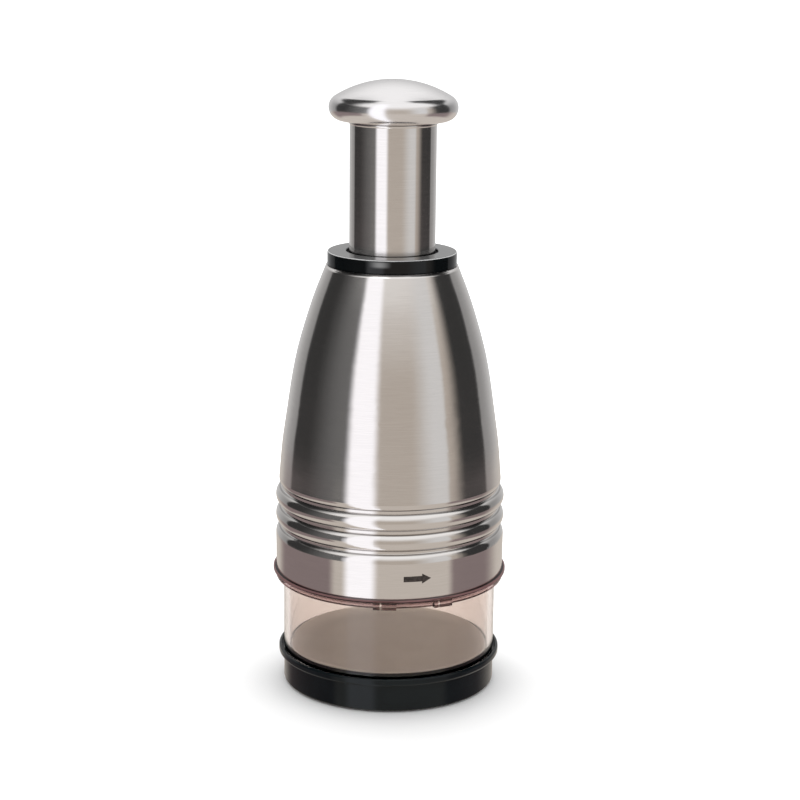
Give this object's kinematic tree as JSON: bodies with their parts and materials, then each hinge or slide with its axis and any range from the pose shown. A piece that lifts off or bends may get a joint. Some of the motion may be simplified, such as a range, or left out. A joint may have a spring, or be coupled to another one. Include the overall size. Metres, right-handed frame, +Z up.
{
  "type": "plunger food chopper",
  "caption": "Hand-pressed food chopper: steel bell housing and knob plunger over a smoke-clear container and black base, with a zigzag blade that turns as it is pressed.",
  "frame": {"origin": "middle of the foot ring's underside, on the plunger's axis", "axes": "+Z up along the plunger towards the knob, -Y the front with the index marks, +X the way the bayonet opens at the front"},
  "size_m": [0.0922, 0.0931, 0.2387],
  "materials": {
    "brushed_steel": "fine circumferential brushing",
    "polished_steel": "polished",
    "blade_steel": "ground",
    "spring_steel": "drawn wire",
    "fastener_steel": "zinc plated",
    "black_plastic": "gloss moulded",
    "white_plastic": "satin moulded",
    "smoke_plastic": "clear smoke-tinted moulding",
    "rubber": "soft matt"
  },
  "bodies": {
    "base": {"base_cup": "black_plastic", "non_slip_ring": "rubber"},
    "cup": {"container": "smoke_plastic", "chopping_plate": "white_plastic"},
    "housing": {"housing_shell": "brushed_steel", "bayonet_ring": "black_plastic", "collar_ring": "black_plastic", "guide_sleeve": "black_plastic", "bearing_plate": "white_plastic", "bearing_screws": "fastener_steel", "ratchet_crown": "white_plastic", "nut_cap": "white_plastic", "return_spring": "spring_steel"},
    "nut": {"drive_nut": "white_plastic", "nut_pins": "fastener_steel", "nut_washer": "fastener_steel"},
    "plunger": {"plunger_tube": "brushed_steel", "stop_ring": "black_plastic", "plunger_core": "white_plastic", "knob_core": "white_plastic", "knob_shell": "polished_steel", "core_screws": "fastener_steel"},
    "blade_unit": {"drive_rod": "white_plastic", "rod_washer": "fastener_steel", "rod_screw": "fastener_steel", "blade_holder": "white_plastic", "zigzag_blade": "blade_steel", "holder_screw": "fastener_steel"},
    "scraper": {"scraper_disc": "white_plastic"}
  },
  "joints": [
    {"name": "base_lift_off", "type": "slide", "parent": "base", "child": "cup", "axis": [0, 0, 1], "range_m": [0, 0.06]},
    {"name": "bayonet_turn", "type": "hinge", "parent": "cup", "child": "housing", "pos_m": [0, 0, 0.05], "axis": [0, 0, 1], "range_deg": [0, 28]},
    {"name": "index_turn", "type": "hinge", "parent": "housing", "child": "nut", "pos_m": [0, 0, 0.12], "axis": [0, 0, 1], "continuous": true},
    {"name": "plunger_press", "type": "slide", "parent": "nut", "child": "plunger", "axis": [0, 0, -1], "range_m": [0, 0.0386], "stiffness_N_per_m": 450, "springref_m": -0.03, "deforming": ["return_spring"]},
    {"name": "blade_turn", "type": "hinge", "parent": "plunger", "child": "blade_unit", "pos_m": [0, 0, 0.1], "axis": [0, 0, 1], "range_deg": [0, 45]},
    {"name": "scraper_turn", "type": "hinge", "parent": "nut", "child": "scraper", "pos_m": [0, 0, 0.054], "axis": [0, 0, 1], "range_deg": [0, 45]}
  ],
  "couplings": [
    {"joint": "blade_turn", "follows": "plunger_press", "rad_per_m": 20.347},
    {"joint": "scraper_turn", "follows": "plunger_press", "rad_per_m": 20.347}
  ]
}
